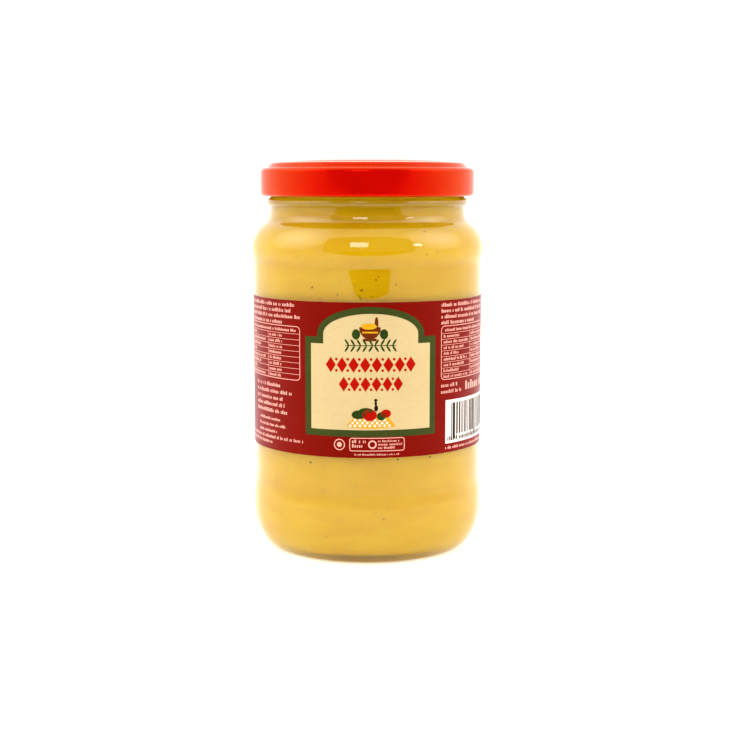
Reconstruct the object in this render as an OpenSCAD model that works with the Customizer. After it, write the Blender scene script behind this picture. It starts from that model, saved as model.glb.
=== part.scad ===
// A full glass mustard jar with a red twist-off cap and a wrap-round paper label.
// It stands on its foot ring at z = 0, with its axis on Z and the label's front towards -Y.

/* [Glass jar] */
// Height of the glass, from the table to the top of its rim
glass_h = 119.4; // [95:0.1:150]
// Widest diameter, at the two bands where jars rub together
jar_d = 72.4; // [69:0.1:88]
// Depth of the recess that keeps the label clear of those bands
recess = 0.6; // [0.2:0.1:1.2]
// Height of the upper band, where the glass is at its widest
band_h = 0.5; // [0.5:0.1:4]
// Height over which the upper band blends into the label recess
blend_h = 4; // [3:0.5:10]
// Height of the lower band
low_band_h = 2.2; // [0.5:0.1:4]
// Height over which the lower band blends into the recess
low_blend_h = 6; // [3:0.5:10]
// Thickness of the side wall
wall = 2.3; // [1.5:0.1:3]
// Thickness of the base above the foot ring
base_t = 4; // [3.5:0.1:7]
// Height of the curved heel
heel_h = 14.5; // [10:0.5:20]
// How far the heel draws in to the foot ring
heel_w = 7.8; // [5:0.1:12]
// Width of the flat foot ring
foot_w = 2; // [1:0.1:4]
// Rise of the hollow under the base
push_up = 2.8; // [1:0.1:3.4]
// Rise of the floor inside the jar at its middle
floor_rise = 1.4; // [0:0.1:2]
// Height of the inner curve between the floor and the wall
inner_heel_h = 10; // [6:0.5:14]
// Width of that inner curve
inner_heel_w = 8; // [5:0.5:12]
// Radius of the round shoulder
shoulder_r = 10; // [6:0.5:14]

/* [Neck and rim] */
// Outer diameter of the finish, the part that the cap goes over
finish_d = 59.8; // [48:0.1:64]
// How much wider the neck is than the finish, on each side
neck_step = 0.5; // [0:0.1:1.5]
// Radius of the hollow curve from the shoulder into the neck
neck_fillet = 3.5; // [2:0.5:6]
// Height of the straight neck, from that curve up to the middle of the bead
neck_h = 3.4; // [1.5:0.1:6]
// Height from the middle of the bead to the top of the rim
finish_h = 11.6; // [9:0.1:16]
// How far the bead stands out from the neck
bead_out = 1; // [0.5:0.1:2]
// Height of the bead
bead_h = 2.5; // [1:0.1:2.8]
// Thickness of the glass at the finish
finish_t = 3; // [3:0.1:4]
// Radius of the rim's two rounded edges
rim_r = 1.4; // [0.5:0.1:1.4]

/* [Mustard] */
// Depth from the rim down to the top of the mustard
headspace = 4.5; // [3:0.1:4.6]

/* [Cap] */
// Thickness of the cap's lacquered steel sheet
cap_t = 0.4; // [0.2:0.05:0.5]
// Gap between the finish and the inside of the cap's skirt
cap_gap = 2.9; // [2.5:0.1:3.5]
// Gap between the rim and the cap that sits on it
seat_gap = 0.05; // [0:0.05:0.3]
// Height of the cap, from the curl to the top of the ring
cap_h = 10.2; // [8.5:0.1:10.4]
// Height of the ring above the ledge round it
ring_h = 1.6; // [0.8:0.1:1.9]
// How far the ring's foot stands outside the finish
ring_over = 1.7; // [1.2:0.1:1.9]
// Width over which the ring's side slopes down to the ledge
ring_side = 2.1; // [1.9:0.1:2.6]
// How far the ring's flat top reaches inwards over the rim's inner round edge
ring_lead = 0.9; // [0.6:0.1:1]
// Radius of the round edge between the ledge and the skirt
edge_r = 1.2; // [0.5:0.1:1.2]
// Radius of the curl at the skirt's lower edge
curl_r = 1; // [0.7:0.1:1.2]
// Rise of the domed middle panel above the ring
crown_h = 1.4; // [0.3:0.1:3]
// Diameter of the raised button in the middle of the panel
button_d = 46; // [15:0.5:48]
// Height of that button's step
button_h = 0.15; // [0.05:0.05:0.4]
// Width over which the panel rises to the button
button_blend = 0.6; // [0.4:0.1:3]

/* [Label] */
// Thickness of the paper
label_t = 0.12; // [0.08:0.01:0.3]
// Thickness of the glue between the glass and the paper
glue_t = 0.02; // [0:0.01:0.1]
// Height from the lower end of the recess to the label's lower edge
label_low = 10.7; // [2:0.1:20]
// Height from the label's upper edge to the upper end of the recess
label_top = 9.5; // [2:0.1:20]
// Bare strip between the label's two ends, at the back
label_gap = 9; // [3:0.5:40]

/* [Hidden] */
$fn = 128;

jar_r = jar_d / 2;
recess_r = jar_r - recess;
foot_out_r = jar_r - heel_w;
foot_in_r = foot_out_r - foot_w;
finish_r = finish_d / 2;
bore_r = finish_r - finish_t;
neck_r = finish_r + neck_step;

// Heights of the features, from the two ends of the glass
recess_z0 = heel_h + low_band_h + low_blend_h;
bead_z = glass_h - finish_h;
neck_z = bead_z - neck_h;
// The shoulder's arc and the neck's hollow arc touch, so their centres are the two radii apart
arc_gap_x = neck_r + neck_fillet - (jar_r - shoulder_r);
arc_gap_z = sqrt(pow(shoulder_r + neck_fillet, 2) - pow(arc_gap_x, 2));
arc_turn = atan2(arc_gap_z, arc_gap_x);
shoulder_z = neck_z - arc_gap_z;
recess_z1 = shoulder_z - band_h - blend_h;
fill_z = glass_h - headspace;

cap_top = glass_h + seat_gap + cap_t;
cap_bottom = cap_top - cap_h;
skirt_r = finish_r + cap_gap + cap_t;
ledge_z = cap_top - ring_h;
ring_foot_r = finish_r + ring_over;
ring_in_r = bore_r + rim_r - ring_lead;
button_r = button_d / 2;

label_r = recess_r + glue_t;
label_z0 = recess_z0 + label_low;
label_z1 = recess_z1 - label_top;
label_gap_deg = label_gap / label_r * 180 / PI;

// Points along an arc of an ellipse, from angle a0 to angle a1
function arc(c, rx, rz, a0, a1, n) =
    [for (i = [0:n]) let (a = a0 + (a1 - a0) * i / n) [c[0] + rx * cos(a), c[1] + rz * sin(a)]];

// Points along a smooth S-curve that leaves p and reaches q upright
function blend(p, q, n = 8) =
    [for (i = [0:n]) [p[0] + (q[0] - p[0]) * (1 - cos(180 * i / n)) / 2, p[1] + (q[1] - p[1]) * i / n]];

// Points along a smooth S-curve that leaves p and reaches q level
function step(p, q, n = 8) =
    [for (i = [0:n]) [p[0] + (q[0] - p[0]) * i / n, p[1] + (q[1] - p[1]) * (1 - cos(180 * i / n)) / 2]];

// Points along a shallow dome of a given rise, from the axis out to radius r at height z
function dome(r, z, rise, n = 8) =
    [for (i = [0:n]) [r * i / n, z + rise * (1 - pow(i / n, 2))]];

// Points along the cap's domed panel from radius r0 to radius r1, lifted by a given height
function crown(r0, r1, lift, n) =
    [for (i = [0:n]) let (r = r0 + (r1 - r0) * i / n)
        [r, cap_top + crown_h * (1 - pow(r / ring_in_r, 2)) + lift]];

// A list in the other order
function reversed(v) = [for (i = [len(v) - 1:-1:0]) v[i]];

// The normal, on the right of the way along the path, at point i
function normal_at(v, i) =
    let (a = v[max(i - 1, 0)], b = v[min(i + 1, len(v) - 1)], d = (b - a) / norm(b - a))
    [d[1], -d[0]];

// The outline of a sheet: a path, and the same path again one thickness to its right, not past the axis
function sheet_outline(v, t) =
    concat(v, reversed([for (i = [0:len(v) - 1]) let (p = v[i] + t * normal_at(v, i)) [max(p[0], 0), p[1]]]));

// The inside of the glass, from the middle of the floor up to the bore
function inside() = concat(
    dome(jar_r - wall - inner_heel_w, base_t, floor_rise),
    arc([jar_r - wall - inner_heel_w, base_t + inner_heel_h], inner_heel_w, inner_heel_h, -84, 0, 12),
    blend([jar_r - wall, heel_h + low_band_h], [recess_r - wall, recess_z0]),
    blend([recess_r - wall, recess_z1], [jar_r - wall, shoulder_z - band_h]),
    arc([jar_r - shoulder_r, shoulder_z], shoulder_r - wall, shoulder_r - wall, 0, arc_turn, 12),
    arc([neck_r + neck_fillet, neck_z], neck_fillet + wall, neck_fillet + wall, 180 + arc_turn, 184, 8),
    blend([neck_r - wall, neck_z], [bore_r, bead_z])
);

// The outside of the glass, from the middle of the hollow base up to the rim
function outside() = concat(
    dome(foot_in_r, 0, push_up),
    arc([foot_out_r, heel_h], heel_w, heel_h, -90, 0, 20),
    blend([jar_r, heel_h + low_band_h], [recess_r, recess_z0]),
    blend([recess_r, recess_z1], [jar_r, shoulder_z - band_h]),
    arc([jar_r - shoulder_r, shoulder_z], shoulder_r, shoulder_r, 0, arc_turn, 12),
    arc([neck_r + neck_fillet, neck_z], neck_fillet, neck_fillet, 180 + arc_turn, 180, 8),
    arc([neck_r, bead_z], bead_out, bead_h / 2, -90, 90, 12),
    [[finish_r, bead_z + bead_h / 2 + neck_step]],
    arc([finish_r - rim_r, glass_h - rim_r], rim_r, rim_r, 0, 90, 8),
    arc([bore_r + rim_r, glass_h - rim_r], rim_r, rim_r, 90, 180, 8)
);

// The cap's outer face, from the middle of its panel out and down to the end of its curl
function cap_face() = concat(
    crown(0, button_r, button_h, 8),
    crown(button_r + button_blend, ring_in_r, 0, 3),
    step([ring_foot_r - ring_side, cap_top], [ring_foot_r, ledge_z], 12),
    arc([skirt_r - edge_r, ledge_z - edge_r], edge_r, edge_r, 90, 0, 8),
    arc([skirt_r - curl_r, cap_bottom + curl_r], curl_r, curl_r, 0, -235, 20)
);

module jar() {
    color("lightcyan", 0.4)
        rotate_extrude()
            polygon(concat(outside(), reversed(inside())));
}

module mustard() {
    color("goldenrod")
        rotate_extrude()
            polygon(concat(inside(), [[bore_r, fill_z], [0, fill_z]]));
}

module cap() {
    color("red")
        rotate_extrude()
            polygon(sheet_outline(cap_face(), cap_t));
}

module label() {
    color("firebrick")
        rotate([0, 0, 90 + label_gap_deg / 2])
            rotate_extrude(angle = 360 - label_gap_deg)
                translate([label_r, label_z0])
                    square([label_t, label_z1 - label_z0]);
}

jar();
mustard();
cap();
label();
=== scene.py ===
"""Looks of a full mustard jar: clear glass, mustard with bran, red twist-off cap and printed label.

Lengths inside the classes are millimetres and become metres where a mesh is made. Angles are degrees.
"""

import logging
import math
from collections.abc import Callable, Sequence
from dataclasses import dataclass, field
from enum import Enum

import bmesh
import bpy
import numpy as np
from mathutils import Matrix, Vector


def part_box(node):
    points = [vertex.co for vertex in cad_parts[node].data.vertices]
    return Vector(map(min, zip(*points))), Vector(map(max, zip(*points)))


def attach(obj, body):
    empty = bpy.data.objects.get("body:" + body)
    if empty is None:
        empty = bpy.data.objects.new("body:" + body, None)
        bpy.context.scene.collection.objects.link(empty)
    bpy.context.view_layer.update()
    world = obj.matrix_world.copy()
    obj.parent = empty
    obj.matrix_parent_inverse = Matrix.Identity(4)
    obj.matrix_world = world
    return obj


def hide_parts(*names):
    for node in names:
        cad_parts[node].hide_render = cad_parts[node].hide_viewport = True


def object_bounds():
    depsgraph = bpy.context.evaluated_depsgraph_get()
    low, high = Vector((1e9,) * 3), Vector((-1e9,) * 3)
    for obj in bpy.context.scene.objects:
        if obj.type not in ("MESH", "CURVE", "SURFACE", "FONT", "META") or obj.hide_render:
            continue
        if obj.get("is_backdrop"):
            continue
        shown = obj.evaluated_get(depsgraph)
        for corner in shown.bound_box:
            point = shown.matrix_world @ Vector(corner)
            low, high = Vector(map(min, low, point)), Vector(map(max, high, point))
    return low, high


MM = 0.001
BODY = "root"
PANEL_LOOP = 0.3  # keeps the shading of the long straight panel flat, in millimetres
LOG = logging.getLogger("mustard_jar")

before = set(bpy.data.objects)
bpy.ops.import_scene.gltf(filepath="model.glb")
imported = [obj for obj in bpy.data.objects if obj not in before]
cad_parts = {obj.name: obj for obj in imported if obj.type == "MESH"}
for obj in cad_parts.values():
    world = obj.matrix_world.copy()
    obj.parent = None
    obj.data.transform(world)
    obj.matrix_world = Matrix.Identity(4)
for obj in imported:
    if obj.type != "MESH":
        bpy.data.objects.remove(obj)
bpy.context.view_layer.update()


# ---------------------------------------------------------------- small helpers


def linear(hex_code: str) -> tuple[float, float, float, float]:
    """Turn an sRGB hex colour into linear RGBA.

    Args:
        hex_code: six hexadecimal digits after a hash sign.

    Returns:
        Linear red, green and blue, with an alpha of one.
    """
    srgb = np.array([int(hex_code[i:i + 2], 16) for i in (1, 3, 5)]) / 255
    rgb = np.where(srgb <= 0.04045, srgb / 12.92, ((srgb + 0.055) / 1.055) ** 2.4)
    return (*(float(c) for c in rgb), 1.0)


def add(tree: bpy.types.NodeTree, kind: str, sockets: dict | None = None,
        stops: Sequence[tuple[float, str]] = (), **settings: object) -> bpy.types.Node:
    """Add one node, with its settings, its socket values, its links and, on a ramp, its colours.

    Args:
        tree: node tree that gets the node.
        kind: Blender's type name of the node.
        sockets: input name or number, with a plain value or an output socket to link from.
        stops: a colour ramp's positions from 0 to 1, each with its sRGB hex colour.
        **settings: attributes of the node itself.

    Returns:
        The new node.
    """
    node = tree.nodes.new(kind)
    for name, value in settings.items():
        setattr(node, name, value)
    for name, value in (sockets or {}).items():
        if isinstance(value, bpy.types.NodeSocket):
            tree.links.new(value, node.inputs[name])
        else:
            node.inputs[name].default_value = value
    if stops:
        elements = node.color_ramp.elements
        elements[0].position, elements[0].color = stops[0][0], linear(stops[0][1])
        elements[1].position, elements[1].color = stops[-1][0], linear(stops[-1][1])
        for place, colour in stops[1:-1]:
            elements.new(place).color = linear(colour)
    return node


def empty_material(name: str) -> tuple[bpy.types.Material, bpy.types.NodeTree]:
    """Make a material whose node tree holds nothing yet.

    Args:
        name: the material's name.

    Returns:
        The material and its node tree.
    """
    material = bpy.data.materials.new(name)
    material.use_nodes = True
    material.node_tree.nodes.clear()
    return material, material.node_tree


def blotches(tree: bpy.types.NodeTree, size_mm: float, detail: float,
             stretch: tuple[float, float, float] = (1.0, 1.0, 1.0)) -> bpy.types.NodeSocket:
    """Add a pattern of soft blotches on the piece's own coordinates.

    Args:
        tree: node tree that gets the pattern.
        size_mm: size of one blotch.
        detail: how many finer layers the pattern has.
        stretch: how much longer the blotches are along each axis.

    Returns:
        The pattern's value, around 0.5.
    """
    coords = add(tree, "ShaderNodeTexCoord").outputs["Object"]
    scale = tuple(1 / s for s in stretch)
    placed = add(tree, "ShaderNodeMapping", {"Vector": coords, "Scale": scale}).outputs[0]
    return add(tree, "ShaderNodeTexNoise",
               {"Vector": placed, "Scale": 1 / (size_mm * MM), "Detail": detail}).outputs[0]


def finish_surface(tree: bpy.types.NodeTree, sockets: dict) -> None:
    """Add the Principled shader with these inputs, and the output."""
    shader = add(tree, "ShaderNodeBsdfPrincipled", sockets)
    add(tree, "ShaderNodeOutputMaterial", {"Surface": shader.outputs[0]})


# ---------------------------------------------------------------- outlines


def arc(centre: tuple[float, float], rx: float, rz: float, a0: float, a1: float,
        steps: int) -> np.ndarray:
    """Points along an arc of an ellipse with half width rx and half height rz, from angle a0 to a1."""
    angle = np.radians(np.linspace(a0, a1, steps + 1))
    return np.stack([centre[0] + rx * np.cos(angle), centre[1] + rz * np.sin(angle)], axis=1)


def blend(p: tuple[float, float], q: tuple[float, float], steps: int = 16) -> np.ndarray:
    """Points from p to q whose height is even and whose radius follows half a cosine wave.

    Args:
        p: first point.
        q: last point.
        steps: number of steps between them.

    Returns:
        Points as rows of radius and height.
    """
    t = np.linspace(0, 1, steps + 1)
    radius = p[0] + (q[0] - p[0]) * (1 - np.cos(np.pi * t)) / 2
    return np.stack([radius, p[1] + (q[1] - p[1]) * t], axis=1)


def level_blend(p: tuple[float, float], q: tuple[float, float], steps: int = 16) -> np.ndarray:
    """Points from p to q whose radius is even and whose height follows half a cosine wave."""
    return blend(p[::-1], q[::-1], steps)[:, ::-1]


def dome(radius: float, height: float, rise: float, steps: int = 16) -> np.ndarray:
    """Points along a parabola from the axis, where it is highest, out to a radius."""
    t = np.linspace(0, 1, steps + 1)
    return np.stack([radius * t, height + rise * (1 - t ** 2)], axis=1)


def without_repeats(path: np.ndarray) -> np.ndarray:
    """Drop the points of a path that repeat the one before them."""
    step = np.linalg.norm(np.diff(path, axis=0), axis=1)
    return path[np.concatenate([[True], step > 1e-5])]


def right_normals(path: np.ndarray) -> np.ndarray:
    """Unit vectors to the right of a path, a quarter turn from its direction at each point.

    Args:
        path: points as rows.

    Returns:
        One unit vector for each point.
    """
    along = np.gradient(path, axis=0)
    along /= np.linalg.norm(along, axis=1, keepdims=True)
    return np.stack([along[:, 1], -along[:, 0]], axis=1)


def half_round(across: np.ndarray, middle: float, half: float) -> np.ndarray:
    """Heights of a unit half circle that is stretched to a half width, and none outside it."""
    return np.sqrt(np.clip(1 - ((across - middle) / half) ** 2, 0, 1))


# ---------------------------------------------------------------- meshes


@dataclass
class Shell:
    """A surface as arrays, in millimetres, with one material number for each face."""

    points: np.ndarray
    faces: list[np.ndarray]
    finishes: list[np.ndarray]

    @classmethod
    def plain(cls, points: np.ndarray, faces: np.ndarray) -> "Shell":
        """A shell of one finish, from points in the last axis and rows of point numbers."""
        return cls(points.reshape(-1, 3), [faces], [np.zeros(len(faces), dtype=np.int32)])

    @classmethod
    def joined(cls, shells: list["Shell"]) -> "Shell":
        """Put several shells into one.

        Args:
            shells: the shells, in order.

        Returns:
            One shell that holds them all.
        """
        starts = np.cumsum([0] + [len(s.points) for s in shells[:-1]])
        faces = [f + start for s, start in zip(shells, starts) for f in s.faces]
        finishes = [m for s in shells for m in s.finishes]
        return cls(np.concatenate([s.points for s in shells]), faces, finishes)


def grid_faces(rows: int, columns: int, wrap_rows: bool, wrap_columns: bool) -> np.ndarray:
    """Quads that join each point of a grid to its neighbours.

    Args:
        rows: number of rows.
        columns: number of columns.
        wrap_rows: True to join the last row to the first.
        wrap_columns: True to join the last column to the first.

    Returns:
        Rows of four point numbers.
    """
    r = np.arange(rows if wrap_rows else rows - 1)
    c = np.arange(columns if wrap_columns else columns - 1)
    r, c = (a.ravel() for a in np.meshgrid(r, c, indexing="ij"))
    r1, c1 = (r + 1) % rows, (c + 1) % columns
    return np.stack([r * columns + c, r * columns + c1, r1 * columns + c1, r1 * columns + c], axis=1)


def revolve(path: np.ndarray, around: int, closed: bool = False) -> Shell:
    """Turn a path of radius and height round the Z axis: x and y are the radius times sine and cosine.

    Args:
        path: points as rows of radius and height.
        around: number of steps round the axis.
        closed: True to join the path's last point to its first.

    Returns:
        The surface.
    """
    turn = 2 * np.pi * np.arange(around) / around
    radius, height = path[:, 0, None], path[:, 1, None]
    points = np.stack([radius * np.sin(turn), -radius * np.cos(turn), height + 0 * turn], axis=2)
    return Shell.plain(points, grid_faces(len(path), around, closed, True))


def new_object(name: str, data: bpy.types.ID) -> bpy.types.Object:
    """Add an object to the scene.

    Args:
        name: the object's name.
        data: its mesh, lamp or camera.

    Returns:
        The object.
    """
    made = bpy.data.objects.new(name, data)
    bpy.context.scene.collection.objects.link(made)
    return made


def make_piece(name: str, shell: Shell, materials: list[bpy.types.Material], crease: float = 35.0,
               weld: bool = True) -> bpy.types.Object:
    """Make a Blender object from a shell, with outward faces and smooth shading up to a crease angle.

    Args:
        name: the piece's name.
        shell: its surface, in millimetres.
        materials: materials in the order of the shell's material numbers.
        crease: angle between faces above which their edge stays sharp.
        weld: True to merge points that coincide, as at a pole.

    Returns:
        The object, in metres, at the origin.
    """
    mesh = bpy.data.meshes.new(name)
    faces = [tuple(f) for block in shell.faces for f in block.tolist()]
    mesh.from_pydata((shell.points * MM).tolist(), [], faces)
    mesh.polygons.foreach_set("material_index", np.concatenate(shell.finishes))
    work = bmesh.new()
    work.from_mesh(mesh)
    if weld:
        bmesh.ops.remove_doubles(work, verts=work.verts, dist=1e-7)
    bmesh.ops.recalc_face_normals(work, faces=work.faces)
    work.to_mesh(mesh)
    work.free()
    for material in materials:
        mesh.materials.append(material)
    mesh.shade_smooth()
    mesh.set_sharp_from_angle(angle=math.radians(crease))
    return new_object(name, mesh)


def place(piece: bpy.types.Object, slot: str, *stands_for: str) -> None:
    """Let a piece ride on the jar's body, hide the CAD nodes that it stands for, and log them with its
    material slot.

    Args:
        piece: the piece.
        slot: name of a material slot, which is only logged.
        *stands_for: names of the nodes that it replaces.
    """
    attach(piece, BODY)
    if stands_for:
        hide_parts(*stands_for)
    LOG.info("%s: %d faces, slot %s, stands for %s", piece.name, len(piece.data.polygons), slot,
             ", ".join(stands_for) or "nothing")


# ---------------------------------------------------------------- finishes


@dataclass(frozen=True)
class SodaLimeGlass:
    """Clear container glass, blown in an iron mould: smooth, with a faint long waviness in its gloss."""

    tint: str = "#FBFEFA"
    ior: float = 1.52
    roughness: float = 0.0
    wave_mm: float = 14.0
    wave_depth_mm: float = 0.015

    def build(self) -> bpy.types.Material:
        """Make the material.

        Returns:
            The material.
        """
        material, tree = empty_material("soda_lime_glass_moulded")
        waves = blotches(tree, self.wave_mm, 1.0)
        relief = {"Height": waves, "Distance": self.wave_depth_mm * MM, "Strength": 1.0}
        finish_surface(tree, {
            "Base Color": linear(self.tint),
            "Roughness": self.roughness,
            "IOR": self.ior,
            "Transmission Weight": 1.0,
            "Normal": add(tree, "ShaderNodeBump", relief).outputs[0],
        })
        return material


@dataclass(frozen=True)
class MustardPaste:
    """Smooth ground mustard: it wets the glass, so its yellow face has streaks and grain but no gloss."""

    deep: str = "#E4B408"
    body: str = "#E8BB0D"
    pale: str = "#ECC31E"
    husk: str = "#C08A14"
    streak_mm: float = 7.0
    grain_mm: float = 0.35
    grain_depth_mm: float = 0.03
    fleck_from: float = 0.66
    fleck_to: float = 0.78
    fleck_share: float = 0.45
    roughness: float = 0.42
    gloss_level: float = 0.03

    def build(self) -> bpy.types.Material:
        """Make the material.

        Returns:
            The material.
        """
        material, tree = empty_material("mustard_paste_ground")
        streaks = blotches(tree, self.streak_mm, 4.0, (2.2, 2.2, 0.7))
        tone = add(tree, "ShaderNodeValToRGB", {0: streaks},
                   [(0.32, self.deep), (0.52, self.body), (0.74, self.pale)]).outputs[0]
        grain = blotches(tree, self.grain_mm, 2.0)
        fleck = add(tree, "ShaderNodeMapRange", {
            0: grain, 1: self.fleck_from, 2: self.fleck_to, 3: 0.0, 4: self.fleck_share}).outputs[0]
        colour = add(tree, "ShaderNodeMix", {0: fleck, 6: tone, 7: linear(self.husk)}, data_type="RGBA")
        relief = {"Height": grain, "Distance": self.grain_depth_mm * MM, "Strength": 0.5}
        finish_surface(tree, {
            "Base Color": colour.outputs[2],
            "Roughness": self.roughness,
            "Specular IOR Level": self.gloss_level,
            "Normal": add(tree, "ShaderNodeBump", relief).outputs[0],
        })
        return material


@dataclass(frozen=True)
class BranHusk:
    """Specks of mustard bran, cracked by the mill: dark brown, dull and flaky."""

    dark: str = "#371B06"
    light: str = "#744510"
    mottle_mm: float = 1.8
    mottle_depth_mm: float = 0.05
    roughness: float = 0.7
    gloss_level: float = 0.03

    def build(self) -> bpy.types.Material:
        """Make the material.

        Returns:
            The material.
        """
        material, tree = empty_material("mustard_bran_milled")
        mottle = blotches(tree, self.mottle_mm, 2.0)
        tone = add(tree, "ShaderNodeValToRGB", {0: mottle}, [(0.35, self.dark), (0.65, self.light)])
        relief = {"Height": mottle, "Distance": self.mottle_depth_mm * MM, "Strength": 0.5}
        finish_surface(tree, {
            "Base Color": tone.outputs[0],
            "Roughness": self.roughness,
            "Specular IOR Level": self.gloss_level,
            "Normal": add(tree, "ShaderNodeBump", relief).outputs[0],
        })
        return material


@dataclass(frozen=True)
class RedLacquer:
    """Clear red lacquer stoved on tinplate: a little metal shows, and its base colour is painted orange
    at a slant, a painted sheen.
    """

    deep: str = "#B00702"
    bright: str = "#B80903"
    # colour of the painted sheen that the base colour takes at grazing angles
    painted_slant_sheen: str = "#B63E0A"
    gloss: str = "#FF9A40"
    metal: float = 0.2
    roughness: float = 0.16
    gloss_level: float = 0.22
    cloud_mm: float = 11.0
    peel_mm: float = 1.6
    peel_depth_mm: float = 0.004

    def build(self) -> bpy.types.Material:
        """Make the material.

        Returns:
            The material.
        """
        material, tree = empty_material("red_lacquer_on_tinplate")
        clouds = blotches(tree, self.cloud_mm, 2.0)
        peel = blotches(tree, self.peel_mm, 2.0)
        relief = {"Height": peel, "Distance": self.peel_depth_mm * MM, "Strength": 1.0}
        body = add(tree, "ShaderNodeValToRGB", {0: clouds},
                   [(0.3, self.deep), (0.7, self.bright)]).outputs[0]
        # painted sheen: the base colour turns orange towards grazing angles, standing in for glare on the
        # cap's sides
        painted_slant_sheen = add(tree, "ShaderNodeLayerWeight", {"Blend": 0.5}).outputs["Facing"]
        painted_sheen_share = add(tree, "ShaderNodeMapRange", {0: painted_slant_sheen, 1: 0.08, 2: 0.6, 3: 0.0, 4: 1.0}).outputs[0]
        colour = add(tree, "ShaderNodeMix", {0: painted_sheen_share, 6: body, 7: linear(self.painted_slant_sheen)}, data_type="RGBA")
        finish_surface(tree, {
            "Base Color": colour.outputs[2],
            "Metallic": self.metal,
            "Roughness": self.roughness,
            "Specular IOR Level": self.gloss_level,
            "Specular Tint": linear(self.gloss),
            "Normal": add(tree, "ShaderNodeBump", relief).outputs[0],
        })
        return material


@dataclass(frozen=True)
class CoatedPaper:
    """Label paper with a varnished ink on its face: even colour over fibres that barely show."""

    name: str
    shade: str
    light: str
    fibre_mm: float = 0.8
    fibre_depth_mm: float = 0.012
    cloud_mm: float = 16.0
    roughness: float = 0.36
    gloss: str = "#FFCC9A"
    gloss_level: float = 0.12

    def build(self) -> bpy.types.Material:
        """Make the material.

        Returns:
            The material.
        """
        material, tree = empty_material(self.name)
        fibres = blotches(tree, self.fibre_mm, 4.0, (3.0, 3.0, 1.0))
        clouds = blotches(tree, self.cloud_mm, 2.0)
        mixed = add(tree, "ShaderNodeMath", {0: fibres, 1: clouds}, operation="ADD").outputs[0]
        half = add(tree, "ShaderNodeMath", {0: mixed, 1: 0.5}, operation="MULTIPLY").outputs[0]
        tone = add(tree, "ShaderNodeValToRGB", {0: half}, [(0.34, self.shade), (0.66, self.light)])
        relief = {"Height": fibres, "Distance": self.fibre_depth_mm * MM, "Strength": 0.5}
        finish_surface(tree, {
            "Base Color": tone.outputs[0],
            "Roughness": self.roughness,
            "Specular IOR Level": self.gloss_level,
            "Specular Tint": linear(self.gloss),
            "Normal": add(tree, "ShaderNodeBump", relief).outputs[0],
        })
        return material


class Ink(Enum):
    """The label's printing inks, each with its darker and its lighter shade."""

    GREEN = ("#35401C", "#3C4621")
    CREAM = ("#B9A478", "#BFAA80")
    SCARLET = ("#9A0A03", "#A20E05")
    TAWNY = ("#5A2408", "#6A3010")
    BLACK = ("#120A06", "#1C120C")
    ROSE = ("#D39C8E", "#DCA799")
    WHITE = ("#CFC4BC", "#D6CCC5")
    OCHRE = ("#C08A14", "#CC9824")
    LEAF = ("#1E3410", "#2A4218")

    def material(self) -> bpy.types.Material:
        """Make this ink's material."""
        return CoatedPaper(f"offset_ink_{self.name.lower()}", *self.value).build()


# ---------------------------------------------------------------- the glass and what it holds


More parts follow.
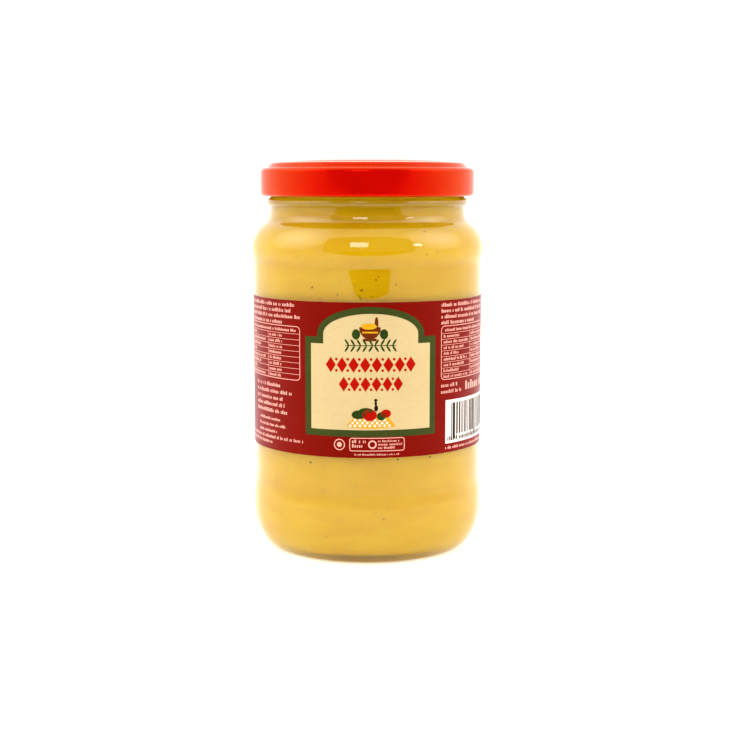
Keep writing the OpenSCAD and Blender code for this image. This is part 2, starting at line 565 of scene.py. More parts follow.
@dataclass
class GlassForm:
    """The glass's outline, with the CAD model's sizes and its overall sizes from the frame."""

    recess: float = 0.6
    band_h: float = 0.5
    blend_h: float = 4.0
    low_band_h: float = 2.2
    low_blend_h: float = 6.0
    wall: float = 2.3
    base_t: float = 4.0
    heel_h: float = 14.5
    heel_w: float = 7.8
    foot_w: float = 2.0
    push_up: float = 2.8
    floor_rise: float = 1.4
    inner_heel_h: float = 10.0
    inner_heel_w: float = 8.0
    shoulder_r: float = 10.0
    finish_d: float = 59.8
    neck_step: float = 0.5
    neck_fillet: float = 3.5
    neck_h: float = 3.4
    finish_h: float = 11.6
    bead_out: float = 1.0
    bead_h: float = 2.5
    finish_t: float = 3.0
    rim_r: float = 1.4
    jar_r: float = field(init=False)
    glass_h: float = field(init=False)

    def __post_init__(self) -> None:
        """Take the overall sizes from the frame and work out the places between them."""
        _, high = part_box("jar")
        self.jar_r = high.x / MM
        self.glass_h = high.z / MM
        self.finish_r = self.finish_d / 2
        self.bore_r = self.finish_r - self.finish_t
        self.neck_r = self.finish_r + self.neck_step
        self.recess_r = self.jar_r - self.recess
        self.recess_z0 = self.heel_h + self.low_band_h + self.low_blend_h
        self.bead_z = self.glass_h - self.finish_h
        self.neck_z = self.bead_z - self.neck_h
        across = self.neck_r + self.neck_fillet - (self.jar_r - self.shoulder_r)
        up = math.sqrt((self.shoulder_r + self.neck_fillet) ** 2 - across ** 2)
        self.turn = math.degrees(math.atan2(up, across))
        self.shoulder_z = self.neck_z - up
        self.recess_z1 = self.shoulder_z - self.band_h - self.blend_h

    def inside(self) -> np.ndarray:
        """The inner face from the floor's middle up to the bore: dome, heel arc, wall and shoulder arcs.

        Returns:
            Points as rows of radius and height.
        """
        floor_r = self.jar_r - self.wall - self.inner_heel_w
        wall, band_z0, band_z1 = self.wall, self.heel_h + self.low_band_h, self.shoulder_z - self.band_h
        heel = (floor_r, self.base_t + self.inner_heel_h)
        shoulder = (self.jar_r - self.shoulder_r, self.shoulder_z)
        neck = (self.neck_r + self.neck_fillet, self.neck_z)
        return without_repeats(np.concatenate([
            dome(floor_r, self.base_t, self.floor_rise),
            arc(heel, self.inner_heel_w, self.inner_heel_h, -84, 0, 24),
            blend((self.jar_r - wall, band_z0), (self.recess_r - wall, self.recess_z0)),
            blend((self.recess_r - wall, self.recess_z1), (self.jar_r - wall, band_z1)),
            arc(shoulder, self.shoulder_r - wall, self.shoulder_r - wall, 0, self.turn, 24),
            arc(neck, self.neck_fillet + wall, self.neck_fillet + wall, 180 + self.turn, 184, 16),
            blend((self.neck_r - wall, self.neck_z), (self.bore_r, self.bead_z)),
        ]))

    def outside(self) -> np.ndarray:
        """The outer face from the hollow base up over the rim: arcs joined by cosine blends.

        Returns:
            Points as rows of radius and height.
        """
        foot_out = self.jar_r - self.heel_w
        shoulder = (self.jar_r - self.shoulder_r, self.shoulder_z)
        neck = (self.neck_r + self.neck_fillet, self.neck_z)
        rim_z = self.glass_h - self.rim_r
        return without_repeats(np.concatenate([
            dome(foot_out - self.foot_w, 0.0, self.push_up),
            arc((foot_out, self.heel_h), self.heel_w, self.heel_h, -90, 0, 40),
            blend((self.jar_r, self.heel_h + self.low_band_h), (self.recess_r, self.recess_z0)),
            [[self.recess_r, self.recess_z0 + PANEL_LOOP], [self.recess_r, self.recess_z1 - PANEL_LOOP]],
            blend((self.recess_r, self.recess_z1), (self.jar_r, self.shoulder_z - self.band_h)),
            arc(shoulder, self.shoulder_r, self.shoulder_r, 0, self.turn, 32),
            arc(neck, self.neck_fillet, self.neck_fillet, 180 + self.turn, 180, 20),
            arc((self.neck_r, self.bead_z), self.bead_out, self.bead_h / 2, -90, 90, 24),
            [[self.finish_r, self.bead_z + self.bead_h / 2 + self.neck_step]],
            arc((self.finish_r - self.rim_r, rim_z), self.rim_r, self.rim_r, 0, 90, 12),
            arc((self.bore_r + self.rim_r, rim_z), self.rim_r, self.rim_r, 90, 180, 12),
        ]))


@dataclass
class GlassJar:
    """The moulded jar: one closed wall of clear glass."""

    form: GlassForm
    around: int = 256

    def build(self) -> None:
        """Turn the outer and inner outlines, joined at the rim and the axis, into one closed wall."""
        outline = np.concatenate([self.form.outside(), self.form.inside()[::-1]])
        wall = revolve(outline, self.around, closed=True)
        piece = make_piece("glass_jar", wall, [SodaLimeGlass().build()])
        place(piece, "clear_glass", "jar")


@dataclass
class MustardFill:
    """The mustard, which wets the glass: its face lies just inside the wall, so no air shows."""

    form: GlassForm
    wetting: float = 0.25
    around: int = 192
    fill_z: float = field(init=False)

    def __post_init__(self) -> None:
        """Take the level from the frame."""
        self.fill_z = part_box("mustard")[1].z / MM

    def face(self) -> np.ndarray:
        """The inner face of the glass moved a little way into the wall, up to the mustard's level.

        Returns:
            Points as rows of radius and height.
        """
        wall = np.concatenate([self.form.inside(), [[self.form.bore_r, self.fill_z]]])
        grown = wall + self.wetting * right_normals(wall)
        grown[0, 0] = 0.0
        grown[-1] = [self.form.bore_r + self.wetting, self.fill_z]
        return grown

    def build(self) -> None:
        """Close the face with a flat top at the level and turn it round the axis."""
        top = np.array([[self.form.bore_r * 0.5, self.fill_z], [0.0, self.fill_z]])
        outline = np.concatenate([self.face(), top])
        piece = make_piece("mustard_fill", revolve(outline, self.around), [MustardPaste().build()])
        place(piece, "mustard_paste", "mustard")


@dataclass
class BranSpecks:
    """Specks of bran at the mustard's face, between two shares of its area from the floor up."""

    fill: MustardFill
    count: int = 760
    smallest: float = 0.1
    largest: float = 0.34
    lowest: float = 0.1
    highest: float = 0.92
    spread: tuple[float, float] = (1.3, 3.2)
    stretch: tuple[float, float] = (0.6, 1.5)
    flatness: float = 0.5
    seed: int = 7

    def build(self) -> None:
        """Put flattened eight-sided grains at chance places of the face, turned and sized by chance."""
        chance = np.random.default_rng(self.seed)
        face = self.fill.face()
        steps = np.linalg.norm(np.diff(face, axis=0), axis=1) * (face[1:, 0] + face[:-1, 0])
        reach = np.concatenate([[0], np.cumsum(steps)])
        spot = chance.uniform(reach[-1] * self.lowest, reach[-1] * self.highest, self.count)
        radius, height = np.interp(spot, reach, face[:, 0]), np.interp(spot, reach, face[:, 1])
        turn = chance.uniform(0, 2 * np.pi, self.count)
        size = self.smallest + (self.largest - self.smallest) * chance.beta(*self.spread, self.count)
        grain = np.concatenate([np.eye(3), -np.eye(3)])
        sides = np.array([[0, 1, 2], [1, 3, 2], [3, 4, 2], [4, 0, 2],
                          [1, 0, 5], [3, 1, 5], [4, 3, 5], [0, 4, 5]])
        shape = grain[None] * size[:, None, None] * chance.uniform(*self.stretch, (self.count, 1, 3))
        lean = chance.uniform(0, np.pi, self.count)[:, None]
        across = shape[:, :, 0] * np.cos(lean) - shape[:, :, 2] * np.sin(lean)
        upward = shape[:, :, 0] * np.sin(lean) + shape[:, :, 2] * np.cos(lean)
        outward = shape[:, :, 1] * self.flatness + radius[:, None]
        angle = turn[:, None] + across / radius[:, None]
        upward += height[:, None]
        points = np.stack([outward * np.sin(angle), -outward * np.cos(angle), upward], axis=2)
        faces = (sides[None] + 6 * np.arange(self.count)[:, None, None]).reshape(-1, 3)
        shell = Shell.plain(points, faces)
        piece = make_piece("bran_specks", shell, [BranHusk().build()], crease=80, weld=False)
        place(piece, "mustard_paste")


# ---------------------------------------------------------------- the cap


@dataclass
class TwistOffCap:
    """The pressed steel cap: domed panel with a button, raised ring, ledge, skirt and curl."""

    finish_r: float
    bore_r: float
    rim_r: float
    sheet: float = 0.4
    cap_h: float = 10.2
    ring_h: float = 1.6
    ring_over: float = 1.7
    ring_side: float = 2.1
    ring_lead: float = 0.9
    edge_r: float = 1.2
    curl_r: float = 1.0
    crown_h: float = 1.4
    button_d: float = 46.0
    button_h: float = 0.15
    button_blend: float = 0.6
    around: int = 256

    def __post_init__(self) -> None:
        """Take the overall sizes from the frame and work out the ring's radii and heights."""
        _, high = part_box("cap")
        self.skirt_r = high.x / MM
        self.ring_z = high.z / MM - self.crown_h - self.button_h
        self.bottom = self.ring_z - self.cap_h
        self.ledge_z = self.ring_z - self.ring_h
        self.ring_in_r = self.bore_r + self.rim_r - self.ring_lead
        self.ring_foot_r = self.finish_r + self.ring_over

    def crown(self, r0: float, r1: float, lift: float, steps: int) -> np.ndarray:
        """Points along the domed panel, a parabola that is as high as the ring at its inner edge.

        Args:
            r0: first radius.
            r1: last radius.
            lift: height above the dome.
            steps: number of steps.

        Returns:
            Points as rows of radius and height.
        """
        radius = np.linspace(r0, r1, steps + 1)
        height = self.ring_z + self.crown_h * (1 - (radius / self.ring_in_r) ** 2) + lift
        return np.stack([radius, height], axis=1)

    def face(self) -> np.ndarray:
        """The cap's outer face from its middle out and down to the end of the curl, as arcs and blends.

        Returns:
            Points as rows of radius and height.
        """
        button = self.button_d / 2
        edge = (self.skirt_r - self.edge_r, self.ledge_z - self.edge_r)
        curl = (self.skirt_r - self.curl_r, self.bottom + self.curl_r)
        ring_top = (self.ring_foot_r - self.ring_side, self.ring_z)
        ring_foot = (self.ring_foot_r, self.ledge_z)
        return without_repeats(np.concatenate([
            self.crown(0.0, button, self.button_h, 24),
            self.crown(button + self.button_blend, self.ring_in_r, 0.0, 8),
            level_blend(ring_top, ring_foot, 24),
            arc(edge, self.edge_r, self.edge_r, 90, 0, 12),
            arc(curl, self.curl_r, self.curl_r, 0, -235, 40),
        ]))

    def build(self) -> None:
        """Give the face the sheet's thickness, to its right, and turn the outline round the axis."""
        face = self.face()
        back = face + self.sheet * right_normals(face)
        back[0, 0] = 0.0
        outline = np.concatenate([face, back[::-1]])
        cap = revolve(outline, self.around, closed=True)
        piece = make_piece("twist_off_cap", cap, [RedLacquer().build()])
        place(piece, "red_lacquered_steel", "cap")


# ---------------------------------------------------------------- the label


@dataclass
class PrintSheet:
    """One ink of the label: flat shapes in millimetres, bent round the paper as thin closed plates."""

    paper_r: float
    ink: Ink
    layer: int
    depth: float = 0.05
    step: float = 0.02
    per_mm: float = 1.2
    tip: float = 0.02  # angle that keeps a shape's two ends from closing to a point, in radians
    shells: list[Shell] = field(default_factory=list)

    def bend(self, across: np.ndarray, up: np.ndarray, out: np.ndarray) -> np.ndarray:
        """Wrap flat places round the jar: across becomes an angle, and out is added to the radius.

        Args:
            across: places along the label, from the middle of its front.
            up: heights.
            out: distances from the paper's face.

        Returns:
            Points in the last axis.
        """
        radius = self.paper_r + out
        angle = across / self.paper_r
        return np.stack([radius * np.sin(angle), -radius * np.cos(angle), up + 0 * angle], axis=-1)

    def tube(self, across: np.ndarray, up: np.ndarray, closed: bool) -> None:
        """Add a plate made of rings of four corners, two on the paper side and two on the outer side.

        Args:
            across: two edges' places along the label, one row for each ring.
            up: the two edges' heights, one row for each ring.
            closed: True to join the last ring to the first, or the two ends are capped.
        """
        out = np.array([-self.depth, self.layer * self.step, self.layer * self.step, -self.depth])
        corners = [0, 0, 1, 1]
        points = self.bend(across[:, corners], up[:, corners], np.broadcast_to(out, (len(across), 4)))
        faces = grid_faces(len(across), 4, closed, True)
        if not closed:
            last = 4 * (len(across) - 1)
            faces = np.concatenate([faces, [[0, 1, 2, 3], [last + 3, last + 2, last + 1, last]]])
        self.shells.append(Shell.plain(points, faces))

    def fill(self, left: float, right: float, low: Callable, high: Callable, steps: int = 0) -> None:
        """Fill the space between two curves, each a function of the place along the label.

        Args:
            left: where the shape starts.
            right: where it ends.
            low: lower curve.
            high: upper curve.
            steps: number of steps, or 0 for the usual number to each millimetre.
        """
        count = steps or max(2, int(abs(right - left) * self.per_mm))
        turn = np.linspace(self.tip, np.pi - self.tip, count + 1)
        x = (left + right) / 2 - (right - left) / 2 * np.cos(turn)
        self.tube(np.stack([x, x], axis=1), np.stack([low(x) + 0 * x, high(x) + 0 * x], axis=1), False)

    def box(self, left: float, right: float, low: float, high: float) -> None:
        """Fill a rectangle."""
        x = np.linspace(left, right, max(2, int(abs(right - left))) + 1)
        self.tube(np.stack([x, x], axis=1), np.broadcast_to([low, high], (len(x), 2)), False)

    def oval(self, x: float, z: float, rx: float, rz: float, steps: int = 20, lean: float = 0.0) -> None:
        """Fill an ellipse, or a leaf that leans: the half height is a half round, the middle a slope.

        Args:
            x: middle, along the label.
            z: middle height.
            rx: half width.
            rz: half height.
            steps: number of steps.
            lean: rise of the middle for each millimetre along the label.
        """
        def edge(a: np.ndarray, side: int) -> np.ndarray:
            """Height of the lower or upper edge at each place."""
            return z + lean * (a - x) + side * rz * half_round(a, x, rx)
        self.fill(x - rx, x + rx, lambda a: edge(a, -1), lambda a: edge(a, 1), steps)

    def lozenge(self, x: float, z: float, rx: float, rz: float) -> None:
        """Fill a shape with four points, two across and two upright, round a middle."""
        self.fill(x - rx, x + rx, lambda a: z - rz * (1 - np.abs(a - x) / rx),
                  lambda a: z + rz * (1 - np.abs(a - x) / rx), 8)

    def line(self, path: np.ndarray, width: float, closed: bool = False) -> None:
        """Draw a band of even width along a path.

        Args:
            path: points as rows of place and height.
            width: the band's width.
            closed: True to join its ends.
        """
        if closed:
            along = np.roll(path, -1, axis=0) - np.roll(path, 1, axis=0)
        else:
            along = np.gradient(path, axis=0)
        along /= np.linalg.norm(along, axis=1, keepdims=True)
        side = np.stack([along[:, 1], -along[:, 0]], axis=1) * width / 2
        a, b = path + side, path - side
        self.tube(np.stack([a[:, 0], b[:, 0]], axis=1), np.stack([a[:, 1], b[:, 1]], axis=1), closed)

    def ring(self, x: float, z: float, radius: float, width: float) -> None:
        """Draw a circle as a band of the given width."""
        self.line(arc((x, z), radius, radius, 0, 360 * 31 / 32, 31), width, True)

    def frame(self, left: float, right: float, low: float, high: float, corner: float,
              width: float) -> None:
        """Draw a rectangle with round corners: four arcs joined by straight runs.

        Args:
            left: its left edge.
            right: its right edge.
            low: its lower edge.
            high: its upper edge.
            corner: radius of its corners.
            width: the band's width.
        """
        side = max(3, int(right - left))
        run = np.linspace(0, 1, side + 2)[1:-1, None]
        bottom = np.array([[left + corner, low]]) * (1 - run) + np.array([[right - corner, low]]) * run
        top = np.array([[right - corner, high]]) * (1 - run) + np.array([[left + corner, high]]) * run
        path = np.concatenate([
            arc((left + corner, low + corner), corner, corner, 180, 270, 5), bottom,
            arc((right - corner, low + corner), corner, corner, 270, 360, 5),
            arc((right - corner, high - corner), corner, corner, 0, 90, 5), top,
            arc((left + corner, high - corner), corner, corner, 90, 180, 5),
        ])
        self.line(path, width, True)

    def blocks(self, rows: np.ndarray) -> None:
        """Add many small rectangles at once, each as a closed box of six faces.

        Args:
            rows: left, right, low and high of each.
        """
        n = len(rows)
        across = rows[:, [0, 1, 1, 0, 0, 1, 1, 0]]
        up = rows[:, [2, 2, 3, 3, 2, 2, 3, 3]]
        out = np.where(np.arange(8) < 4, -self.depth, self.layer * self.step)
        points = self.bend(across, up, np.broadcast_to(out, (n, 8)))
        sides = np.array([[3, 2, 1, 0], [4, 5, 6, 7], [0, 1, 5, 4],
                          [1, 2, 6, 5], [2, 3, 7, 6], [3, 0, 4, 7]])
        faces = (sides[None] + 8 * np.arange(n)[:, None, None]).reshape(-1, 4)
        self.shells.append(Shell.plain(points, faces))

    def build(self) -> None:
        """Join the shapes into one piece on the label."""
        name = f"label_print_{self.ink.name.lower()}_{self.layer}"
        piece = make_piece(name, Shell.joined(self.shells), [self.ink.material()], crease=30, weld=False)
        place(piece, "printed_paper")


@dataclass
class SmallPrint:
    """Rows of small blocks that stand where fine print would be: greeked words, with no letters in them.

    Widths, gaps and the rise are in heights of a low block, word ends and risers in shares of them.
    """

    height: float = 0.62
    seed: int = 11
    most: int = 110
    widths: tuple[float, float] = (0.28, 0.7)
    gap: float = 0.36
    word_gap: float = 1.1
    word_ends: float = 0.16
    rise: float = 1.4
    risers: float = 0.28

    def __post_init__(self) -> None:
        """Start the chance that sizes the blocks."""
        self.chance = np.random.default_rng(self.seed)

    def row(self, left: float, right: float, base: float, height: float = 0.0,
            full: float = 1.0) -> np.ndarray:
        """One row of blocks between two places, in groups as long as words.

        Args:
            left: where the row starts.
            right: where it ends at the latest.
            base: height of the row's foot.
            height: height of a low block, or 0 for the usual one.
            full: share of the room that the row takes.

        Returns:
            Left, right, low and high of each block.
        """
        tall = height or self.height
        room = (right - left) * full
        wide = self.chance.uniform(*self.widths, self.most) * tall
        gap = np.full(self.most, self.gap * tall)
        gap[self.chance.random(self.most) < self.word_ends] = self.word_gap * tall
        ends = np.cumsum(wide + gap) - gap
        starts = ends - wide
        keep = ends <= room
        rise = np.where(self.chance.random(self.most) < self.risers, self.rise, 1.0) * tall
        return np.stack([left + starts, left + ends, np.full(self.most, base), base + rise], axis=1)[keep]

    def rows(self, left: float, right: float, top: float, pitch: float, fills: list[float],
             height: float = 0.0) -> np.ndarray:
        """Several rows below each other, the first with its foot at top, each as full as fills says."""
        return np.concatenate([self.row(left, right, top - i * pitch, height, full)
                               for i, full in enumerate(fills)])


@dataclass
class JarLabel:
    """The paper label with its print: a framed arched panel in front and plain tables at both sides."""

    turned: float = 1.1
    panel_half: float = 18.3
    panel_low: float = 8.3
    panel_shoulder: float = 33.7
    arch_half: float = 14.3
    arch_spring: float = 36.5
    arch_top: float = 42.6
    border: float = 2.0
    thickness: float = 0.12
    bare: float = 9.0
    around: int = 240
    radius: float = field(init=False)
    low: float = field(init=False)
    high: float = field(init=False)

    def __post_init__(self) -> None:
        """Take the label's place from the frame."""
        low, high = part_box("label")
        self.radius = max(high.x, -low.y) / MM
        self.inner = self.radius - self.thickness
        self.low, self.high = low.z / MM, high.z / MM
        self.sheets: dict[tuple[Ink, int], PrintSheet] = {}

    def sheet(self, ink: Ink, layer: int) -> PrintSheet:
        """The print sheet of an ink and a layer, made when it is first asked for."""
        return self.sheets.setdefault((ink, layer), PrintSheet(self.radius, ink, layer))

    def paper(self) -> None:
        """Build the paper, a ring section carried round the jar as far as a bare strip at the back."""
        gap = self.bare / self.radius
        turn = np.linspace(-np.pi + gap / 2, np.pi - gap / 2, self.around + 1)
        radius = np.array([self.inner, self.radius, self.radius, self.inner])
        height = np.array([self.low, self.low, self.high, self.high])
        points = np.stack([radius * np.sin(turn)[:, None], -radius * np.cos(turn)[:, None],
                           height + 0 * turn[:, None]], axis=2)
        faces = grid_faces(len(turn), 4, False, True)
        last = 4 * (len(turn) - 1)
        ends = np.array([[0, 1, 2, 3], [last + 3, last + 2, last + 1, last]])
        core = np.where(np.arange(len(faces)) % 4 == 1, 0, 1)
        finishes = [core.astype(np.int32), np.ones(2, dtype=np.int32)]
        shell = Shell(points.reshape(-1, 3), [faces, ends], finishes)
        inked = CoatedPaper("label_paper_dark_red_ink", "#6E0602", "#760804").build()
        raw = CoatedPaper("label_paper_cut_edge", "#D9A59A", "#E6B8AC", roughness=0.8).build()
        piece = make_piece("label_paper", shell, [inked, raw], crease=30)
        place(piece, "printed_paper", "label")

    def panel(self, sheet: PrintSheet, grow: float) -> None:
        """Fill the arched panel: a box up to the shoulders and half an ellipse over its middle.

        Args:
            sheet: the ink that fills it.
            grow: how far the shape is grown on all sides.
        """
        base, x = self.low, self.turned
        foot, shoulder = base + self.panel_low - grow, base + self.panel_shoulder + grow
        half, arch_half = self.panel_half + grow, self.arch_half + grow
        spring = base + self.arch_spring
        rise = base + self.arch_top + grow - spring

        def arch(a: np.ndarray) -> np.ndarray:
            """Height of the arch at each place."""
            return spring + rise * half_round(a, x, arch_half)
        sheet.box(x - half, x - arch_half, foot, shoulder)
        sheet.fill(x - arch_half, x + arch_half, lambda a: foot + 0 * a, arch, 48)
        sheet.box(x + arch_half, x + half, foot, shoulder)

    def lozenge_row(self, x: float, z: float, width: float, height: float, count: int) -> None:
        """Draw a row of tall lozenges with a small disc between each two.

        Args:
            x: middle, along the label.
            z: middle height.
            width: width of the whole row.
            height: height of the lozenges.
            count: number of lozenges.
        """
        red = self.sheet(Ink.SCARLET, 3)
        pitch = width / (count - 0.1)
        for i in range(count):
            middle = x - width / 2 + pitch * (i + 0.45)
            red.lozenge(middle, z, pitch * 0.45, height / 2)
            for side in (1, -1) if i < count - 1 else ():
                red.oval(middle + pitch / 2, z + side * height * 0.36, pitch * 0.12, pitch * 0.12, 10)

    def emblem(self) -> None:
        """Draw a mortar full of seed between two leaves, and a stalk with small leaves under it."""
        x, z = self.turned - 0.3, self.low + 37.8
        tawny, ochre, leaf = self.sheet(Ink.TAWNY, 3), self.sheet(Ink.OCHRE, 4), self.sheet(Ink.LEAF, 3)
        tawny.fill(x - 3.1, x + 3.1, lambda a: z - 2.6 + 2.4 * (np.abs(a - x) / 3.1) ** 3,
                   lambda a: z + 0.9 + 0 * a)
        tawny.box(x - 1.9, x + 1.9, z - 3.2, z - 2.4)
        tawny.oval(x + 1.9, z + 2.0, 0.55, 1.9, 12)
        ochre.oval(x - 0.3, z + 1.1, 2.3, 0.9, 16)
        ochre.box(x - 2.3, x + 2.3, z - 0.9, z - 0.4)
        for side in (-1, 1):
            leaf.oval(x + side * 4.1, z - 1.2, 1.2, 1.5, 14)
        stalk = self.low + 33.3
        leaf.box(x - 7.2, x + 7.6, stalk - 0.13, stalk + 0.13)
        for i in range(-4, 5):
            for side in (-1, 1):
                lean = side * (1.2 if i > 0 else -1.2)
                leaf.oval(x + 0.2 + i * 1.75, stalk + side * 0.95, 0.62, 0.5, 12, lean)

    def picture(self) -> None:
        """Draw plain shapes of food on a checked cloth: discs, leaves and a small mill."""
        x, z = self.turned, self.low + 9.6
        ochre, white, black = self.sheet(Ink.OCHRE, 3), self.sheet(Ink.WHITE, 4), self.sheet(Ink.BLACK, 4)
        ochre.fill(x - 7.1, x + 7.1, lambda a: z - 0.8 + 0.06 * (a - x) ** 2 / 7.1,
                   lambda a: z + 3.4 - 1.25 * np.clip(np.abs(a - x) - 4.4, 0, None))
        for row in range(3):
            for i in range(9 - row):
                left = x - 6.5 + 0.72 * row + i * 1.45
                white.box(left, left + 0.72, z - 0.35 + 0.85 * row, z + 0.35 + 0.85 * row)
        leaf, red = self.sheet(Ink.LEAF, 5), self.sheet(Ink.SCARLET, 5)
        for sheet, across, up, rx, rz, steps in (
                (leaf, -3.6, 3.3, 2.1, 1.3, 20), (leaf, -1.5, 4.5, 2.0, 0.8, 20),
                (red, -0.4, 3.2, 2.1, 1.75, 20), (leaf, 3.0, 2.8, 1.3, 1.2, 20),
                (red, 4.4, 3.6, 1.5, 1.2, 20), (black, 1.5, 5.2, 0.55, 0.9, 12),
                (black, 1.4, 6.6, 0.35, 0.7, 12), (black, 1.4, 7.6, 0.5, 0.4, 12)):
            sheet.oval(x + across, z + up, rx, rz, steps)

    def marks(self) -> None:
        """Draw plain marks under the panel: a ring with a dot, and a frame with a ring and rows in it."""
        rose, base = self.sheet(Ink.ROSE, 1), self.low
        rose.ring(-8.3, base + 3.9, 1.55, 0.3)
        rose.oval(-8.3, base + 3.9, 0.75, 0.75, 12)
        rose.frame(-5.2, 11.1, base + 2.1, base + 5.9, 0.7, 0.25)
        rose.ring(1.5, base + 4.0, 1.05, 0.45)
        words = SmallPrint(0.6, 5)
        rose.blocks(words.rows(-4.5, 0.0, base + 4.45, 1.35, [0.95, 0.8], 0.75))
        rose.blocks(words.rows(3.2, 10.4, base + 4.7, 1.0, [0.9, 1.0, 0.7], 0.5))
        rose.blocks(words.row(-3.8, 9.6, base + 0.75, 0.4))

    def table(self, left: float, right: float, split: float, words: SmallPrint, tight: bool) -> None:
        """Draw a table in a frame: a heading and eight rows ruled apart, in two columns.

        Args:
            left: its left edge.
            right: its right edge.
            split: where the second column starts.
            words: makes the rows' blocks.
            tight: True where the second column's blocks are short.
        """
        rose, base = self.sheet(Ink.ROSE, 1), self.low
        low, high = base + 22.2, base + 38.2
        rose.frame(left, right, low, high, 1.2, 0.22)
        pitch = (high - low - 2.2) / 8
        rose.box(split - 0.07, split + 0.07, low, high - 2.2)
        rose.blocks(words.row(left + 1.5, right - 1.5, high - 1.6, 0.62))
        for i in range(8):
            foot = high - 2.2 - pitch * (i + 1)
            rose.box(left, right, foot + pitch - 0.06, foot + pitch + 0.06)
            full = 0.55 + 0.4 * ((i * 5) % 3) / 2
            rose.blocks(words.row(left + 0.9, split - 0.6, foot + 0.5, 0.62, full))
            rose.blocks(words.row(split + 0.7, right - 0.6, foot + 0.5, 0.62, 0.5 if tight else 0.8))

    def side_print(self) -> None:
        """Draw both side blocks: rows of small print, a table, more rows, and bars on a white field."""
        rose, base = self.sheet(Ink.ROSE, 1), self.low
        words = SmallPrint()
        left, right = -56.0, -21.2
        rose.blocks(words.rows(left, right, base + 44.0, 1.75, [0.97, 0.9, 1.0, 0.8], 0.78))
        self.table(left, right, left + 20.5, words, True)
        rose.blocks(words.rows(left + 12, right - 3, base + 19.4, 2.0, [0.75, 1.0, 0.8, 0.9, 0.9], 0.8))
        rose.blocks(words.rows(left + 14, right - 5, base + 9.0, 1.9, [0.8, 0.95, 0.7], 0.62))
        rose.blocks(words.rows(left, right + 1.5, base + 3.4, 1.6, [1.0, 0.62], 0.72))
        left, right = 23.7, 58.0
        rose.blocks(words.rows(left, right, base + 44.0, 1.75, [0.97, 1.0, 0.92, 0.5], 0.78))
        self.table(left, right, left + 14.0, words, False)
        rose.blocks(words.rows(left, left + 9.5, base + 19.9, 1.9, [0.85, 0.95], 0.78))
        rose.blocks(words.row(left + 11.5, right, base + 18.2, 1.9, 0.75))
        rose.blocks(words.row(left + 1.8, right, base + 1.0, 0.62))
        self.bars(left + 1.8, left + 33.0)

    def bars(self, left: float, right: float) -> None:
        """Draw upright bars of chance widths on a white field, with a row of low ticks under them.

        Args:
            left: the field's left edge.
            right: the field's right edge.
        """
        base = self.low
        white, black = self.sheet(Ink.WHITE, 1), self.sheet(Ink.BLACK, 2)
        white.box(left, right, base + 2.7, base + 15.9)
        chance = np.random.default_rng(23)
        count, unit = 60, 0.33
        wide = unit * chance.integers(1, 4, count)
        gap = unit * chance.integers(1, 3, count)
        starts = left + 2.6 + np.cumsum(wide + gap) - wide - gap
        keep = starts + wide < right - 2.4
        low = np.where(np.arange(count) % 12 < 2, base + 4.0, base + 5.2)
        rows = np.stack([starts, starts + wide, low, np.full(count, base + 14.9)], axis=1)
        black.blocks(rows[keep])
        black.blocks(SmallPrint(0.9, 3).row(left + 0.9, right - 1.5, base + 3.5, 1.0))

    def build(self) -> None:
        """Build the paper, draw all shapes and make one piece of each ink's layer."""
        self.paper()
        self.panel(self.sheet(Ink.GREEN, 1), self.border)
        self.panel(self.sheet(Ink.CREAM, 2), 0.0)
        self.emblem()
        self.lozenge_row(self.turned, self.low + 27.6, 27.0, 4.6, 8)
        self.lozenge_row(self.turned, self.low + 21.9, 19.0, 4.4, 6)
        self.picture()
        self.marks()
        self.side_print()
        for sheet in self.sheets.values():
            sheet.build()


# ---------------------------------------------------------------- studio


@dataclass(frozen=True)
class Card:
    """A felt card that the camera doesn't see: rows of a left and a right corner, in metres."""

    name: str
    shade: str
    rows: tuple[tuple[float, ...], ...]

    def build(self) -> None:
        """Join the rows, each given as left, right, y and z, by a strip of faces."""
        left, right, y, z = np.array(self.rows).T / MM
        points = np.stack([np.stack([left, y, z], axis=1), np.stack([right, y, z], axis=1)], axis=1)
        shell = Shell.plain(points, grid_faces(len(self.rows), 2, False, False))
        material, tree = empty_material(f"felt_{self.name}")
        finish_surface(tree, {"Base Color": linear(self.shade), "Roughness": 0.95,
                              "Specular IOR Level": 0.0})
        card = make_piece(self.name, shell, [material])
        card.visible_camera = False
        card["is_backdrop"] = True


@dataclass(frozen=True)
class Softbox:
    """A square lamp in a direction from the jar, with its width and its beam as angles."""

    name: str
    azimuth: float
    elevation: float
    spread: float
    power: float
    away: float = 0.7
    beam: float = 180.0

    def build(self) -> None:
        """Hang the lamp, facing the jar's shoulder: azimuth is measured from the front, towards +X."""
        light = bpy.data.lights.new(self.name, "AREA")
        light.shape = "SQUARE"
        light.size = 2 * self.away * math.tan(math.radians(self.spread / 2))
        light.energy = self.power
        light.spread = math.radians(self.beam)
        lamp = new_object(self.name, light)
        turn, rise = math.radians(self.azimuth), math.radians(self.elevation)
        way = Vector((math.sin(turn) * math.cos(rise), -math.cos(turn) * math.cos(rise), math.sin(rise)))
        lamp.location = Vector((0, 0, 0.1)) + self.away * way
        lamp.rotation_euler = way.to_track_quat("Z", "Y").to_euler()


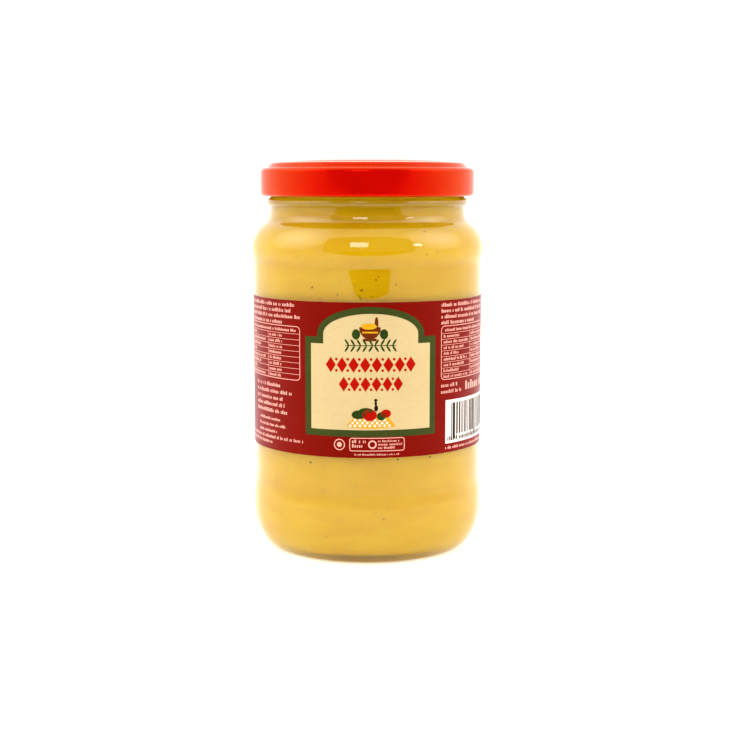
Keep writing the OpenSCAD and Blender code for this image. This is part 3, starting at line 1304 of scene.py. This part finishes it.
@dataclass
class Studio:
    """A white tent with a slot for the camera and four softboxes, round a table lit from below."""

    tent: float = 1.42
    table: float = 0.3
    table_half: float = 6.0
    cloud_mm: float = 400.0
    slot_y: float = -0.548
    front_y: float = -0.55

    def floor(self) -> None:
        """Build the table as a flat disc that glows a little, as if lit from below."""
        path = np.array([[0.0, 0.0], [self.table_half / MM, 0.0]])
        material, tree = empty_material("opal_light_table")
        clouds = blotches(tree, self.cloud_mm, 2.0)
        tone = add(tree, "ShaderNodeValToRGB", {0: clouds}, [(0.3, "#F4F3F1"), (0.7, "#F8F7F6")])
        finish_surface(tree, {"Base Color": tone.outputs[0], "Roughness": 0.6,
                              "Emission Color": (1, 1, 1, 1), "Emission Strength": self.table})
        floor = make_piece("floor", revolve(path, 96), [material])
        if floor.data.polygons[0].normal.z < 0:
            floor.data.flip_normals()
        floor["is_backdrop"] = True

    def sky(self) -> None:
        """Light the tent evenly from all round, and show it plain white behind the jar."""
        world = bpy.data.worlds.new("tent")
        bpy.context.scene.world = world
        world.use_nodes = True
        tree = world.node_tree
        tree.nodes.clear()
        seen = add(tree, "ShaderNodeLightPath").outputs["Is Camera Ray"]
        strength = add(tree, "ShaderNodeMix", {0: seen, 2: self.tent, 3: 1.0}, data_type="FLOAT")
        shader = add(tree, "ShaderNodeBackground",
                     {"Color": (1, 1, 1, 1), "Strength": strength.outputs[0]})
        add(tree, "ShaderNodeOutputWorld", {"Surface": shader.outputs[0]})

    def build(self) -> None:
        """Build the table, the tent, its dark openings and the lamps."""
        self.floor()
        self.sky()
        slot, front = self.slot_y, self.front_y
        for name, shade, rows in (
                ("camera_slot", "#0A0A0A", (
                    (-0.10, 0.20, slot, 0.066), (-0.2, 0.33, slot, 0.08), (-0.36, 0.42, slot, 0.088),
                    (-0.36, 0.42, slot, 0.106), (-0.25, 0.37, slot, 0.110), (-0.22, 0.35, slot, 0.118))),
                ("slot_top", "#5A5A5A", ((-0.22, 0.35, slot, 0.118), (-0.32, 0.42, slot, 0.165))),
                ("dim_front", "#949494", (
                    (-0.2, 0.3, front, 0.066), (-0.42, 0.45, front, 0.1),
                    (-0.5, 0.57, front, 0.149), (-0.6, 0.66, front, 0.9))),
                ("table_end", "#0A0A0A", (
                    (-0.178, 0.375, -1.014, 0.001), (-0.578, 0.70, -1.543, 0.001)))):
            Card(name, shade, rows).build()
        Softbox("key_softbox", -8.0, 27.0, 16.0, 0.5, 0.55).build()
        Softbox("side_softbox", 51.0, 22.0, 8.0, 0.15, 0.55).build()
        Softbox("left_wing", -82.0, 36.0, 60.0, 0.8, 0.7, 68.0).build()
        Softbox("right_wing", 84.0, 34.0, 56.0, 0.6, 0.7, 64.0).build()
        view = bpy.context.scene.view_settings
        view.view_transform = "Standard"
        view.look = "Medium High Contrast"


@dataclass
class Viewpoint:
    """The camera, a little above the neck and looking slightly down at the jar's front."""

    away: float = 12.69
    height: float = 0.9448
    pitch: float = 7.65
    lens: float = 70.0
    shift_x: float = 0.0116

    def build(self) -> None:
        """Place the camera before the label, at a distance in jar radii and a height in jar heights."""
        _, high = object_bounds()
        camera = bpy.data.cameras.new("camera")
        camera.lens = self.lens
        camera.shift_x = self.shift_x
        camera.clip_start = 0.01
        holder = new_object("camera", camera)
        holder.location = (0.0, -self.away * high.x, self.height * high.z)
        holder.rotation_euler = (math.radians(90 - self.pitch), 0.0, 0.0)
        bpy.context.scene.camera = holder


def main() -> None:
    """Build the camera, the jar's parts and the studio, in order."""
    logging.basicConfig(level=logging.INFO, format="%(message)s")
    Viewpoint().build()
    form = GlassForm()
    GlassJar(form).build()
    mustard = MustardFill(form)
    mustard.build()
    BranSpecks(mustard).build()
    TwistOffCap(form.finish_r, form.bore_r, form.rim_r).build()
    JarLabel().build()
    Studio().build()


if __name__ == "__main__":
    main()
